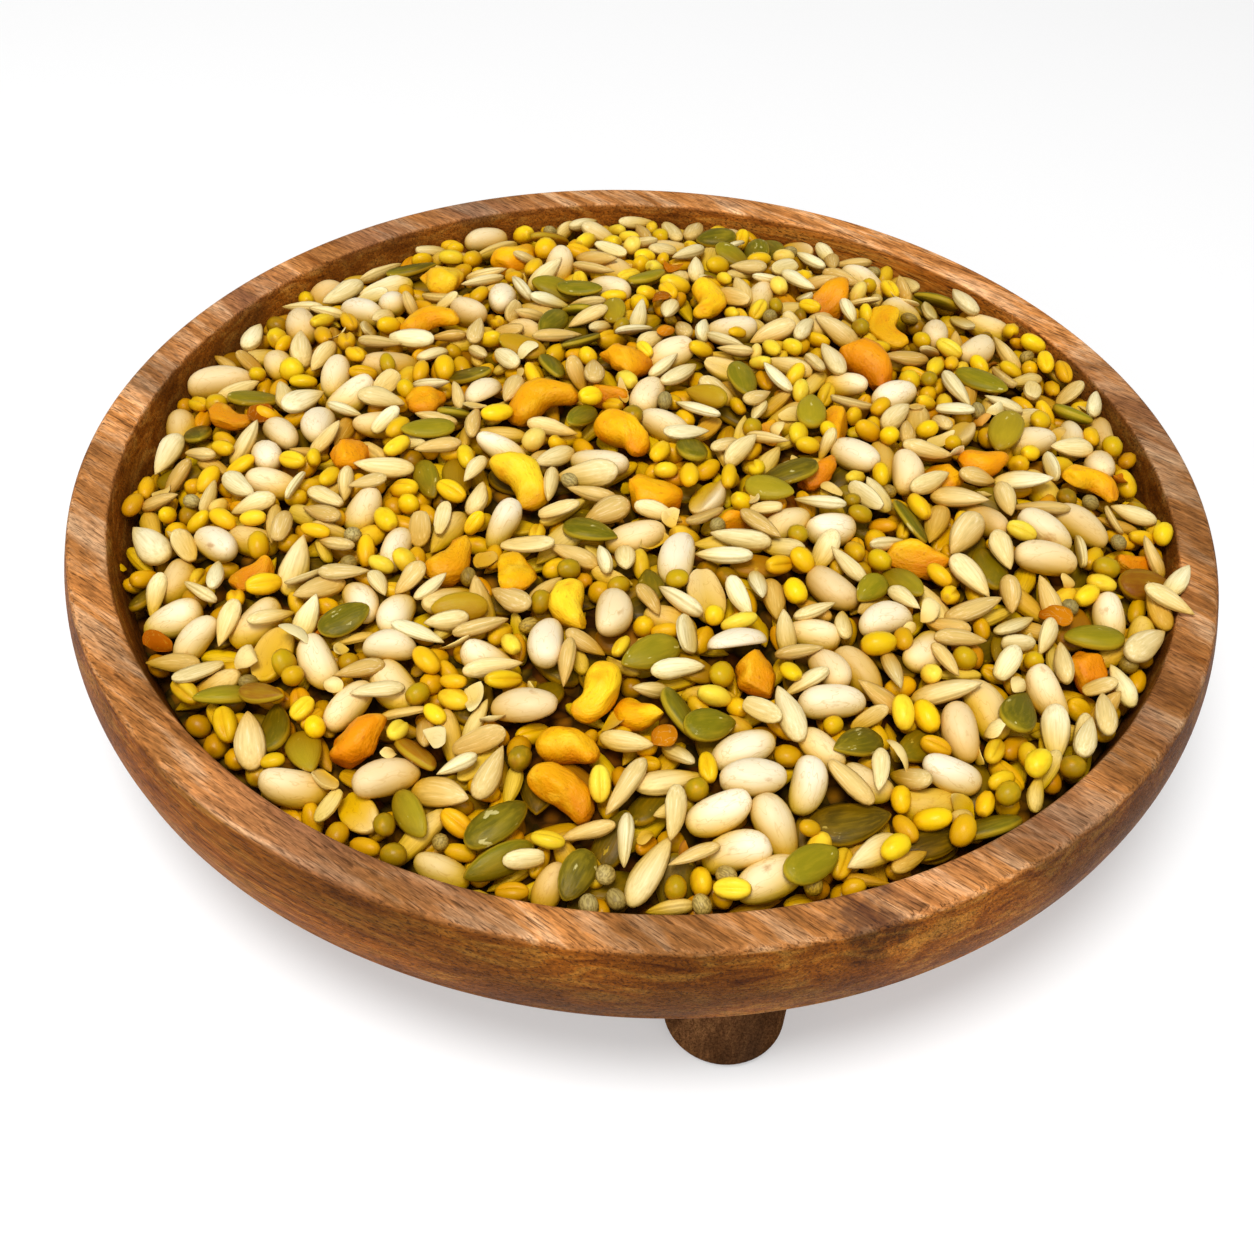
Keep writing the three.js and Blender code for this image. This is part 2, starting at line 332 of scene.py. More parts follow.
def wood_material(name, tones, upright=False, shine=0.05):
    """Open-pored hardwood. upright stands its grain on end, and leaves out the stain and the painted side
    shade.
    """
    n = Nodes(name)
    where = n.coordinates()
    if upright:
        where = n.add("ShaderNodeMapping", {"Vector": where, "Rotation": (0, 90 * DEG, 0)}).outputs[0]
    zones = grain(n, where, ZONES)
    figure = grain(n, where, FIGURE)
    fibre = grain(n, where, FIBRE)
    pores = grain(n, where, PORES)
    flecks = grain(n, where, FLECKS)
    patches = grain(n, where, PATCHES, PATCHES_MOVE)
    checks = grain(n, where, CHECKS, CHECKS_MOVE)

    dark, middle, light, grey = tones
    base = n.ramp(figure, [(0.28, dark), (0.5, middle), (0.74, light)])
    base = n.tint(base, n.ramp(patches, [(0.39, 0.58), (0.5, 1.0), (0.6, 1.26)]))
    base = n.mix(n.ramp(zones, [(0.48, 0.0), (0.7, 0.85)]), base, grey)
    base = n.tint(base, n.ramp(fibre, [(0.3, 0.68), (0.5, 1.0), (0.72, 1.26)]))
    base = n.tint(base, n.ramp(flecks, [(0.35, 0.74), (0.5, 1.02), (0.65, 1.3)]))
    pore = n.ramp(pores, [(0.32, 1.0), (0.42, 0.0)])
    base = n.mix(n.math("MULTIPLY", pore, 0.55), base, PORE_COLOUR)
    thin = n.ramp(checks, [(0.488, 0.0), (0.497, 1.0), (0.503, 1.0), (0.512, 0.0)])
    some = n.ramp(patches, [(0.5, 0.0), (0.6, 0.65)])
    base = n.mix(n.math("MULTIPLY", thin, some), base, CHECK_COLOUR)
    if not upright:
        base = n.mix(stain(n, where), base, STAIN_COLOUR)
        # Painted shade: the less a surface faces up, the more of the side tint it takes.
        facing = n.apart(n.coordinates("Normal"))["Z"]
        base = n.tint(base, n.ramp(facing, [(0.3, SIDE_SHADE_TINT), (0.85, NO_TINT)]))

    height = n.math("SUBTRACT", n.math("MULTIPLY", fibre, 0.4), pore)
    n.set(Base_Color=base, Roughness=n.ramp(fibre, [(0.3, 0.6), (0.7, 0.45)]))
    n.set(Normal=n.bump(height, WOOD_RELIEF, 0.6), Specular_IOR_Level=shine)
    return n.material


# ---- bowl and feet ---------------------------------------------------------


def bowl_outline():
    """From the middle of the underside, out and over the rim, to the middle of the floor."""
    under = RIM_Z - BODY_DEPTH
    floor = RIM_Z - CAVITY_DEPTH
    band = RIM_Z - BAND_HEIGHT
    lower = RIM_RADIUS - BAND_TUCK
    pull = (RIM_RADIUS + 2 * BAND_BULGE, RIM_Z - BAND_HEIGHT / 2)
    lip = (INNER_RADIUS - LIP_EDGE / 3, RIM_Z - LIP_EDGE)
    wall_foot = (WALL_FOOT, RIM_Z - WALL_DEPTH)
    return outline(
        line((0, under), (UNDERSIDE_RADIUS, under), 12),
        curve((UNDERSIDE_RADIUS, under), (BELLY_RADIUS, under), (lower - RIM_EDGE, band), 16),
        arc((lower - RIM_EDGE, band + RIM_EDGE), RIM_EDGE, -90, 0, 6),
        curve((lower, band + RIM_EDGE), pull, (RIM_RADIUS, RIM_Z - RIM_EDGE), 14),
        arc((RIM_RADIUS - RIM_EDGE, RIM_Z - RIM_EDGE), RIM_EDGE, 0, 90, 8),
        line((RIM_RADIUS - RIM_EDGE, RIM_Z), (INNER_RADIUS + LIP_EDGE, RIM_Z), 8),
        curve((INNER_RADIUS + LIP_EDGE, RIM_Z), (INNER_RADIUS, RIM_Z), lip, 4),
        line(lip, wall_foot, 10),
        curve(wall_foot, (WALL_FOOT - FILLET_REACH, floor), (FLOOR_RADIUS, floor), 8),
        line((FLOOR_RADIUS, floor), (0, floor), 6),
    )


def handmade(r, z, a):
    """The slight unevenness of a bowl finished by hand, always inwards."""
    dent = sum(depth * (1 + np.sin(number * a + phase)) / 2 for depth, number, phase in DENTS)
    outside = np.clip((r - INNER_RADIUS) / RIM_WIDTH, 0, 1)
    return r - dent * outside, z


def make_bowl():
    points, faces = lathe(bowl_outline(), BOWL_SIDES, handmade)
    bowl = new_object("wooden_bowl", points, faces)
    bowl.data.materials.append(wood_material("bowl_wood", BOWL_TONES))
    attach(bowl, "root")
    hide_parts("bowl")


def make_foot(index, material):
    base = FOOT_RADIUS - FOOT_TAPER
    top = RIM_Z - BAND_HEIGHT - FOOT_DROP
    profile = outline(
        line((0, FOOT_BASE), (base - FOOT_EDGE, FOOT_BASE), 4),
        arc((base - FOOT_EDGE, FOOT_BASE + FOOT_EDGE), FOOT_EDGE, -90, 0, 8),
        line((base, FOOT_BASE + FOOT_EDGE), (FOOT_RADIUS, top), 8),
        line((FOOT_RADIUS, top), (0, top), 4),
    )
    points, faces = lathe(profile, FOOT_SIDES)
    angle = FRONT_FOOT + index * 2 * np.pi / FOOT_COUNT
    points[:, 0] += FOOT_CIRCLE * np.cos(angle)
    points[:, 1] += FOOT_CIRCLE * np.sin(angle)
    foot = new_object(f"turned_foot_{index + 1}", points, faces)
    foot.data.materials.append(material)
    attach(foot, "root")
    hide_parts(f"foot_{index + 1}")


# ---- shapes of the pieces --------------------------------------------------
# Each is made from a unit sphere whose poles lie on X, and comes back in millimetres, about as
# large as size. x is the station along X, s the radius of its ring and a the angle round it.

LUMP_WAVES = 5


def sphere_grid(rings, sides, crowd=0.0):
    """Unit sphere as arrays of station along X, ring radius and angle, with its triangles.
    crowd draws the sides together near the top, where a crease needs them."""
    t = np.arange(1, rings) * np.pi / rings
    w = np.arange(sides) * 2 / sides - 1
    turn = 90 * DEG + np.pi * np.sign(w) * np.abs(w) ** (1 + crowd)
    x = np.concatenate([[-1.0], np.repeat(-np.cos(t), sides), [1.0]])
    s = np.concatenate([[0.0], np.repeat(np.sin(t), sides), [0.0]])
    a = np.concatenate([[0.0], np.tile(turn, rings - 1), [0.0]])
    last = 1 + (rings - 1) * sides
    k = np.arange(sides)
    k_next = (k + 1) % sides
    first = np.stack([np.zeros(sides, int), 1 + k_next, 1 + k], axis=-1)
    base = 1 + (rings - 2) * sides
    final = np.stack([np.full(sides, last), base + k, base + k_next], axis=-1)
    strips = [first, final]
    for ring in range(rings - 2):
        low = 1 + ring * sides
        high = low + sides
        strips.append(np.stack([low + k, low + k_next, high + k_next], axis=-1))
        strips.append(np.stack([low + k, high + k_next, high + k], axis=-1))
    return x, s, a, np.concatenate(strips)


def random_way(rng):
    way = rng.normal(size=3)
    way /= np.linalg.norm(way)
    return way


def lumps(points, rng, amount, size):
    """Soft random bumps: a few waves in random directions."""
    shift = np.zeros(len(points))
    for _ in range(LUMP_WAVES):
        way = random_way(rng)
        shift += np.sin(points @ way * 2 * np.pi / size + rng.uniform(0, 2 * np.pi))
    away = points / np.maximum(np.linalg.norm(points, axis=1, keepdims=True), 1e-6)
    return points + away * (shift * amount / (LUMP_WAVES / 2))[:, None]


def breaks(points, rng, number, depths):
    """Flat broken faces: a few cuts to a depth under the surface, leaving a trace of the round."""
    for _ in range(number):
        way = random_way(rng)
        along = points @ way
        over = along - (along.max() - rng.uniform(*depths))
        points = points - np.where(over > 0, over * 0.88, 0)[:, None] * way
    return points


def flatten(points, axis, level, left):
    """Presses what goes past a level down to a share of its height. Says which points that was."""
    past = points[:, axis] > level
    points[past, axis] = level + (points[past, axis] - level) * left
    return past


def stack(x, y, z, size):
    return np.stack([x, y, z], axis=-1) * (np.asarray(size) / 2)


def peanut(grid, size, rng):
    x, s, a, _ = grid
    taper = rng.uniform(-0.12, 0.12)
    bend = rng.uniform(0, 0.28) * (x**2 - 0.4)
    fat = s**0.8 * (1 + taper * x)
    points = stack(x, fat * np.cos(a) + bend, fat * np.sin(a), size)
    return lumps(points, rng, 0.16, 9)


def split_peanut(grid, size, rng):
    """One half, with the groove along its flat face."""
    points = peanut(grid, size, rng)
    flat = flatten(points, 2, 0.6, 0.08)
    groove = 0.5 * np.exp(-((points[:, 1] / 1.2) ** 2))
    points[flat, 2] -= groove[flat]
    return points


def sunflower(grid, size, rng):
    """A teardrop with ridges along it, its point at +X."""
    x, s, a, _ = grid
    fat = (1 + x) ** 0.5 * (1 - x) ** rng.uniform(0.75, 0.95) / 1.06
    ridges = 0.03 * np.cos(3 * a + rng.uniform(0, 6)) + 0.012 * np.cos(7 * a + rng.uniform(0, 6))
    fat = fat * (1 + ridges)
    bend = rng.uniform(-0.14, 0.14) * x**2
    points = stack(x, fat * np.cos(a) + bend, fat * np.sin(a), size)
    return lumps(points, rng, 0.1, 6)


def split_sunflower(grid, size, rng):
    """One half of a kernel, with its end broken off."""
    points = sunflower(grid, size, rng)
    flatten(points, 2, 0.35, 0.1)
    flatten(points, 0, size[0] * rng.uniform(0.22, 0.4), 0.2)
    return points


def flat_kernel(grid, size, rng):
    """A flat teardrop with a full edge, slightly cupped."""
    x, s, a, _ = grid
    fat = (1 + x) ** 0.5 * (1 - x) ** rng.uniform(0.6, 0.86) / 1.03
    thick = np.sign(np.sin(a)) * np.abs(np.sin(a)) ** 0.75 * fat**0.6
    cup = rng.uniform(-0.25, 0.25) * x**2
    points = stack(x, fat * np.cos(a), thick + cup, size)
    return lumps(points, rng, 0.07, 7)


def cashew(grid, size, rng):
    """A crescent, fatter at one end, with small broken faces."""
    x, s, a, _ = grid
    length, width, thick = size
    arc_half = rng.uniform(62, 88) * DEG
    radius = (length - width * 0.7) / 2 / np.sin(min(arc_half, 80 * DEG))
    blunt, taper = rng.uniform(0.62, 0.8), rng.uniform(0.12, 0.3)
    fat = s**blunt * (1 - taper * x)
    spread = fat * np.cos(a) * width / 2 * 0.8
    bend = radius - spread
    turn = x * arc_half
    y = radius - bend * np.cos(turn) - radius * (1 - np.cos(arc_half)) / 2
    z = fat * np.sin(a) * thick / 2
    points = np.stack([bend * np.sin(turn), y, z], axis=-1)
    points = breaks(lumps(points, rng, 0.6, 9), rng, 6, (0.3, 1.3))
    return lumps(points, rng, 0.12, 3)


def half_cashew(grid, size, rng):
    points = cashew(grid, size, rng)
    flatten(points, 2, 0.8, 0.15)
    return points


def chunk(grid, size, rng):
    """A broken piece: a lumpy ball with a few flat breaks."""
    x, s, a, _ = grid
    points = stack(x, s * np.cos(a), s * np.sin(a), size)
    points = breaks(lumps(points, rng, 1.2, 9), rng, 7, (0.8, 2.2))
    return lumps(points, rng, 0.16, 3)


def creased_grain(grid, size, rng):
    """An oval grain with a crease along its top."""
    x, s, a, _ = grid
    crease = np.exp(-(((a - 90 * DEG) / (17 * DEG)) ** 2)) * (1 - x**6)
    fat = s**0.9 * (1 - 0.42 * crease)
    points = stack(x, fat * np.cos(a), fat * np.sin(a), size)
    return lumps(points, rng, 0.06, 5)


def bean(grid, size, rng):
    x, s, a, _ = grid
    fat = s**0.92 * (1 + rng.uniform(-0.1, 0.1) * x)
    points = stack(x, fat * np.cos(a), fat * np.sin(a), size)
    return lumps(points, rng, 0.12, 6)


def flake(grid, size, rng):
    """A thin curled bit of skin."""
    x, s, a, _ = grid
    points = stack(x, s * np.cos(a), s * np.sin(a), size)
    points = breaks(lumps(points, rng, 0.35, 6), rng, 4, (0.3, 1.4))
    points[:, 2] += 0.12 * points[:, 0] ** 2 + 0.1 * points[:, 1] ** 2 - 1
    return points


# ---- the heap --------------------------------------------------------------

GRID = 0.5  # spacing of the height map
GRID_HALF = 136.0
SPOT_STEP = 4  # every so many cells is a place where a piece may be tried
PRESS = 0.35  # how far a piece may press into what lies under it
TRIES = 14  # turns and places tried for a piece
YAW_SPREAD = 5 * DEG  # round the direction a piece is laid in
MISSES = 4  # how many tries may fail for each piece that a round should lay
POUR_UNDER = 8.5  # depth under the heap's top at which the pieces start
EDGE_CLEAR = 4.0  # pieces are poured no closer to the wall than this
MOUND = 0.8  # height of the small mounds the pieces lie in
MOUND_X, MOUND_Y = 8.3, 9.1
SLOPE_REACH = 3.5
SLOPE_CELLS = 5  # half the side of a square whose mean height the slope is taken from
STEEPEST = 0.8
CREST_CELLS = 7
NOWHERE = -1e9  # the height of no surface
DEEP = 7.0  # depth under the crest at which a piece has its full painted warm shade


def heap_top(x, y):
    """Height of the heap's top above the table, averaged over its pieces."""
    share = np.minimum(1, np.hypot(x, y) / INNER_RADIUS)
    swell = SWELL * (1 - share) * (np.sin(x / SWELL_X + 0.6) + np.cos(y / SWELL_Y - 0.4))
    dome = DOME_RISE * (1 - share**DOME_POWER)
    return RIM_Z - EDGE_DROP + EDGE_LEAN * x / INNER_RADIUS + dome + swell


class Heap:
    """Lays pieces one by one on a height map, each where it comes to lie lowest."""

    def __init__(self):
        self.rng = np.random.default_rng(SEED)
        count = int(2 * GRID_HALF / GRID) + 1
        self.middle = (count - 1) / 2
        axis = (np.arange(count) - self.middle) * GRID
        x, y = np.meshgrid(axis, axis, indexing="ij")
        radius = np.hypot(x, y)
        fade = 1 - (radius / INNER_RADIUS).clip(0, 1) ** 6
        mounds = MOUND * np.sin(x / MOUND_X + 1.1) * np.sin(y / MOUND_Y + 0.4) * fade
        self.target = heap_top(x, y) + mounds
        wall = np.minimum(RIM_Z, RIM_Z - (INNER_RADIUS - WALL_GAP - radius) / np.tan(WALL_LEAN))
        self.top = np.maximum(self.target - POUR_UNDER, wall)
        self.inside = radius < INNER_RADIUS - EDGE_CLEAR
        self.misses = np.zeros_like(self.top[::SPOT_STEP, ::SPOT_STEP])
        self.laid = []

    def index(self, x):
        return int(round(x / GRID + self.middle))

    def low_spots(self, number, need):
        """Places where the heap is still lower than it will be by more than need. Those where
        pieces did not fit come up less often."""
        step = SPOT_STEP
        lack = np.where(self.inside, self.target - self.top, 0)[::step, ::step]
        weight = (np.maximum(lack - need, 0) / (1 + self.misses)) ** 2
        total = weight.sum()
        if total < 1e-9:
            return []
        picks = self.rng.choice(weight.size, size=number, p=(weight / total).ravel())
        rows, cols = np.unravel_index(picks, weight.shape)
        x = (rows * step - self.middle) * GRID + self.rng.uniform(-1, 1, number)
        y = (cols * step - self.middle) * GRID + self.rng.uniform(-1, 1, number)
        return list(zip(x, y))

    def slope(self, x, y):
        """The lie of the heap round a place."""
        i, j = self.index(x), self.index(y)
        n = int(SLOPE_REACH / GRID)
        w = SLOPE_CELLS
        east = self.top[i + n - w : i + n + w, j - w : j + w].mean()
        west = self.top[i - n - w : i - n + w, j - w : j + w].mean()
        north = self.top[i - w : i + w, j + n - w : j + n + w].mean()
        south = self.top[i - w : i + w, j - n - w : j - n + w].mean()
        run = 2 * n * GRID
        grade = np.array([(east - west) / run, (north - south) / run])
        steep = np.linalg.norm(grade)
        return grade * min(1, STEEPEST / max(steep, 1e-6))

    def lay(self, kind, x, y, size, yaw=None, roam=1.5, tip=14 * DEG, above=0.0, level=None, tries=TRIES):
        """Tries the piece in several turns near a place and keeps the lowest. False if that stands
        more than above out of the heap. A level sets how far it stands out, whatever is under it."""
        rng = self.rng
        semi = np.asarray(size) / 2
        grade = self.slope(x, y)
        lean = np.tan(rng.normal(0, tip, (tries, 2)))
        normal = np.column_stack([lean - grade, np.ones(tries)])
        normal /= np.linalg.norm(normal, axis=1, keepdims=True)
        if yaw is None:
            turn = rng.uniform(0, 2 * np.pi, tries)
        else:
            turn = yaw + rng.normal(0, YAW_SPREAD, tries)
        long = np.column_stack([np.cos(turn), np.sin(turn), np.zeros(tries)])
        long -= normal * np.sum(long * normal, axis=1, keepdims=True)
        long /= np.linalg.norm(long, axis=1, keepdims=True)
        turns = np.stack([long, np.cross(normal, long), normal], axis=-1)
        xs = x + rng.uniform(-roam, roam, tries)
        ys = y + rng.uniform(-roam, roam, tries)

        n = int(semi.max() / GRID) + 1
        offset = np.arange(-n, n + 1) * GRID
        dx, dy = np.meshgrid(offset, offset, indexing="ij")
        form = np.einsum("tik,k,tjk->tij", turns, 1 / semi**2, turns)[:, None, None]
        b = form[..., 0, 2] * dx + form[..., 1, 2] * dy
        c = form[..., 0, 0] * dx**2 + 2 * form[..., 0, 1] * dx * dy + form[..., 1, 1] * dy**2 - 1
        disc = b * b - form[..., 2, 2] * c
        under = disc > 0
        root = np.sqrt(np.where(under, disc, 0))
        low = (-b - root) / form[..., 2, 2]
        high = (-b + root) / form[..., 2, 2]
        patches = []
        for px, py in zip(xs, ys):
            i, j = self.index(px), self.index(py)
            patches.append(self.top[i - n : i + n + 1, j - n : j + n + 1])
        patches = np.array(patches)
        rest = np.where(under, patches - low, NOWHERE).max(axis=(1, 2)) - PRESS
        best = int(np.argmin(rest))
        i, j = self.index(xs[best]), self.index(ys[best])
        peak = rest[best] + high[best][under[best]].max()
        if level is not None:
            rest[best] += min(self.target[i, j] + level, HEAP_CEILING) - peak
        elif peak > min(self.target[i, j] + above, HEAP_CEILING):
            return False
        patch = self.top[i - n : i + n + 1, j - n : j + n + 1]
        raised = np.where(under[best], rest[best] + high[best], NOWHERE)
        np.maximum(patch, raised, out=patch)
        self.laid.append((kind, (xs[best], ys[best], rest[best]), turns[best], np.asarray(size)))
        return True

    def crest(self):
        """The level of the pieces' tops round each place."""
        level = self.top
        shifts = range(-CREST_CELLS, CREST_CELLS + 1)
        for combine in (np.max, np.mean):
            for axis in (0, 1):
                level = combine([np.roll(level, shift, axis) for shift in shifts], axis=0)
        return level

    def pour(self, kinds, number, need, above, tries=TRIES, spots=12):
        """Lays a number of pieces, drawn from kinds by share, into the lowest places. It ends early
        when the heap is full, or when far too many did not fit."""
        names = list(kinds)
        shares = np.array(list(kinds.values()), float)
        shares /= shares.sum()
        laid = 0
        places = []
        misses = 0
        self.misses[:] = 0
        while laid < number and misses < MISSES * number:
            if not places:
                places = self.low_spots(spots, need)
                if not places:
                    break
            x, y = places.pop()
            name = names[self.rng.choice(len(names), p=shares)]
            kind = KINDS[name]
            size = size_of(name) * self.rng.normal(1, kind["spread"], 3)
            size *= self.rng.normal(1, kind["spread"])
            if self.lay(name, x, y, size, tip=kind["tip"], above=above, tries=tries):
                laid += 1
            else:
                misses += 1
                self.misses[self.index(x) // SPOT_STEP, self.index(y) // SPOT_STEP] += 1


def food(shapes, size, mesh, spread, tip):
    """One kind: variants of its shape, size, rings, sides and crowding of its mesh, spread of its
    sizes, and how far it usually tips from the slope it lies on, in degrees."""
    return {"shapes": shapes, "size": size, "mesh": mesh, "spread": spread, "tip": tip * DEG}


KINDS = {
    "peanuts": food([peanut] * 11 + [split_peanut], (12.9, 7.3, 7.0), (14, 16), 0.06, 14),
    "sunflower_kernels": food(
        [sunflower] * 7 + [split_sunflower] * 2, (12.2, 4.8, 3.4), (10, 10), 0.09, 28
    ),
    "pumpkin_kernels": food([flat_kernel] * 6, (13.0, 7.5, 3.2), (11, 14), 0.08, 28),
    "melon_kernels": food([sunflower] * 5, (14.4, 6.4, 4.2), (12, 12), 0.07, 20),
    "cashews": food([cashew] * 5 + [half_cashew] * 9, (18.0, 9.0, 7.6), (32, 24), 0.06, 10),
    "cashew_bits": food([chunk] * 14, (11.5, 9.5, 7.0), (22, 22), 0.12, 16),
    "yellow_grains": food([creased_grain] * 5, (7.4, 4.4, 4.1), (9, 12, 0.7), 0.07, 18),
    "small_beans": food([bean] * 5, (6.8, 4.9, 4.6), (8, 10), 0.1, 18),
    "round_peas": food([bean] * 4, (5.6, 5.3, 5.1), (8, 10), 0.1, 18),
    "striped_seeds": food([bean] * 3, (4.4, 3.8, 3.6), (8, 10), 0.06, 20),
    "skin_bits": food([flake] * 8, (6.6, 4.4, 0.8), (12, 14), 0.2, 30),
}

# The kinds poured in each round, with their shares.
BED_SHARES = {"sunflower_kernels": 40, "pumpkin_kernels": 32, "yellow_grains": 16, "round_peas": 12}
NUT_SHARES = {"peanuts": 62, "melon_kernels": 25, "cashew_bits": 13}
BASE_SHARES = {
    "sunflower_kernels": 24, "pumpkin_kernels": 26, "yellow_grains": 20,
    "round_peas": 16, "small_beans": 14,
}
KERNEL_SHARES = {
    "sunflower_kernels": 38, "pumpkin_kernels": 31, "melon_kernels": 16, "yellow_grains": 6,
    "small_beans": 5, "round_peas": 3, "skin_bits": 1,
}
FILL_SHARES = {
    "yellow_grains": 31, "small_beans": 29, "round_peas": 37, "striped_seeds": 2, "skin_bits": 1,
}

# The cashews that stand out: place, direction of the long axis in degrees, length.
CASHEWS = (
    (-39, 93, 62, 20), (11, 67, -89, 18), (-56, 53, 13, 17), (-25, 21, 32, 20), (52, 44, -36, 21),
    (60, 64, -79, 18), (-7, 7, -45, 19), (-29, -10, -60, 20), (-42, -34, 49, 17), (-14, -47, -76, 17),
    (-9, -71, -104, 18), (-13, -95, -19, 19), (-12, -86, -16, 16), (-83, -38, 27, 14), (78, 9, 8, 15),
    (103, 6, -7, 16), (1, -74, -32, 14), (-99, 14, -18, 14),
)

# Nuts and kernels that lie on top: place, direction of the long axis in degrees.
ON_TOP = {
    "peanuts": (
        (22, -82, 20), (24, -89, 10), (18, -97, 30), (28, -98, -50), (21, -104, 20), (27, -109, 30),
        (-21, -75, 0), (-65, -93, 0), (-51, -98, -50), (-47, -92, 30), (-6, -50, 90), (-18, -58, 90),
        (4, 13, -30), (31, -18, 50), (58, -88, 0), (88, -22, 10),
    ),
    "pumpkin_kernels": (
        (58, -97, 20), (70, -93, 10), (-31, -71, 80), (-64, -85, -70), (-42, -87, -50),
        (10, -110, -80), (5, -94, 70), (-2, -102, 60), (9, -76, -40), (37, -42, 80),
    ),
}

# The heap's edge at +X comes up to the rim: kinds laid along it, number, from and to which angle.
EDGE_KINDS = (
    "sunflower_kernels", "small_beans", "peanuts", "yellow_grains", "melon_kernels",
    "pumpkin_kernels", "round_peas",
)
EDGE_NUMBER = 160
EDGE_FROM, EDGE_TO = -80 * DEG, 50 * DEG

# The striped seeds along the front edge: number, from and to which x.
STRIPED_NUMBER = 22
STRIPED_FROM, STRIPED_TO = -8, 38

# Kernels that lean out over the rim: place, direction of the long axis in degrees.
LEANING = ((117.6, -24.4, 52), (114.0, -32.0, -29))

STAND_OUT = 2.4  # how far the placed pieces stand out of the heap
PLACED_TIP = 9 * DEG


def size_of(kind):
    return np.array(KINDS[kind]["size"])


def lay_placed(heap):
    """The pieces that lie where the photo has them."""
    for x, y, yaw, length in CASHEWS:
        size = size_of("cashews") * length / KINDS["cashews"]["size"][0]
        heap.lay("cashews", x, y, size, yaw * DEG, roam=0.5, tip=PLACED_TIP, level=STAND_OUT)
    for kind, places in ON_TOP.items():
        for x, y, yaw in places:
            size = size_of(kind) * heap.rng.normal(1.03, 0.04)
            where = {"yaw": yaw * DEG, "roam": 0.6, "tip": PLACED_TIP}
            if not heap.lay(kind, x, y, size, above=2.8, **where):
                heap.lay(kind, x, y, size, level=STAND_OUT, **where)


def lay_edge(heap):
    """The striped seeds along the front, what comes up to the rim at +X, and what leans out there."""
    for x in heap.rng.uniform(STRIPED_FROM, STRIPED_TO, STRIPED_NUMBER):
        y = -np.sqrt((INNER_RADIUS - heap.rng.uniform(4, 9)) ** 2 - x**2)
        heap.lay("striped_seeds", x, y, size_of("striped_seeds"), above=2.2)
    for angle in heap.rng.uniform(EDGE_FROM, EDGE_TO, EDGE_NUMBER):
        name = EDGE_KINDS[heap.rng.integers(len(EDGE_KINDS))]
        size = size_of(name) * heap.rng.normal(1, 0.05)
        radius = INNER_RADIUS - heap.rng.uniform(2, 6) - size[1] / 2
        yaw = angle + 90 * DEG + heap.rng.normal(0, 25 * DEG)
        x, y = radius * np.cos(angle), radius * np.sin(angle)
        heap.lay(name, x, y, size, yaw, tip=10 * DEG, above=4.4)
    for x, y, yaw in LEANING:
        size = size_of("sunflower_kernels")
        heap.lay("sunflower_kernels", x, y, size, yaw * DEG, roam=0.3, tip=6 * DEG, above=10.0)


def fill_heap():
    heap = Heap()
    heap.pour(BED_SHARES, number=450, need=5.4, above=-4.4)
    lay_placed(heap)
    heap.pour(NUT_SHARES, number=155, need=3.6, above=2.6)
    heap.pour(BASE_SHARES, number=1000, need=4.2, above=-1.4, tries=10)
    heap.pour(KERNEL_SHARES, number=1300, need=1.8, above=1.9, tries=5)
    heap.pour(FILL_SHARES, number=1500, need=1.6, above=1.0, tries=8)
    lay_edge(heap)
    return heap


def depth_under(crest, points):
    """How far each point lies under the crest, 1 for DEEP or more, three times over."""
    last = crest.shape[0] - 1
    cells = np.clip(np.round(points[:, :2] / GRID + last / 2).astype(int), 0, last)
    depth = (crest[cells[:, 0], cells[:, 1]] - points[:, 2]) / DEEP
    return np.repeat(np.clip(depth, 0, 1)[:, None], 3, axis=1)


def join_pieces(name, laid, crest, rng):
    """One mesh of all the pieces of a kind, each a variant of its shape, turned and stretched.
    tone is random for each piece, spot is the place on its own unit sphere, deep its depth."""
    kind = KINDS[name]
    grid = sphere_grid(*kind["mesh"])
    faces = grid[3]
    nominal = size_of(name)
    variants = [shape(grid, nominal, rng) for shape in kind["shapes"]]
    unit = np.stack([grid[0], grid[1] * np.cos(grid[2]), grid[1] * np.sin(grid[2])], axis=-1)
    all_points, all_faces, all_tones, all_spots = [], [], [], []
    for number, (_, place, turn, size) in enumerate(laid):
        points = variants[rng.integers(len(variants))] * (size / nominal)
        spot = unit.copy()
        if rng.random() < 0.5:
            points = points * (1, -1, -1)
            spot = spot * (1, -1, -1)
        all_points.append(points @ turn.T + place)
        all_faces.append(faces + number * len(points))
        all_tones.append(np.repeat(rng.random((1, 3)), len(points), axis=0))
        all_spots.append(spot)
    thing = new_object(name, np.concatenate(all_points), np.concatenate(all_faces))
    point_attribute(thing, "tone", np.concatenate(all_tones))
    point_attribute(thing, "spot", np.concatenate(all_spots))
    point_attribute(thing, "deep", depth_under(crest, np.concatenate(all_points)))
    return thing


# ---- core ------------------------------------------------------------------

CORE_UNDER = 8.0  # depth of the core under the heap's top
CORE_RINGS = 60
CORE_SIDES = 180
CORE_WAVES = 7
CORE_RELIEF = 0.35  # height of a wave
CORE_SHARPEST = 0.9  # the shortest wave, in radians to a millimetre
CORE_GRAINS = 260.0  # to a metre


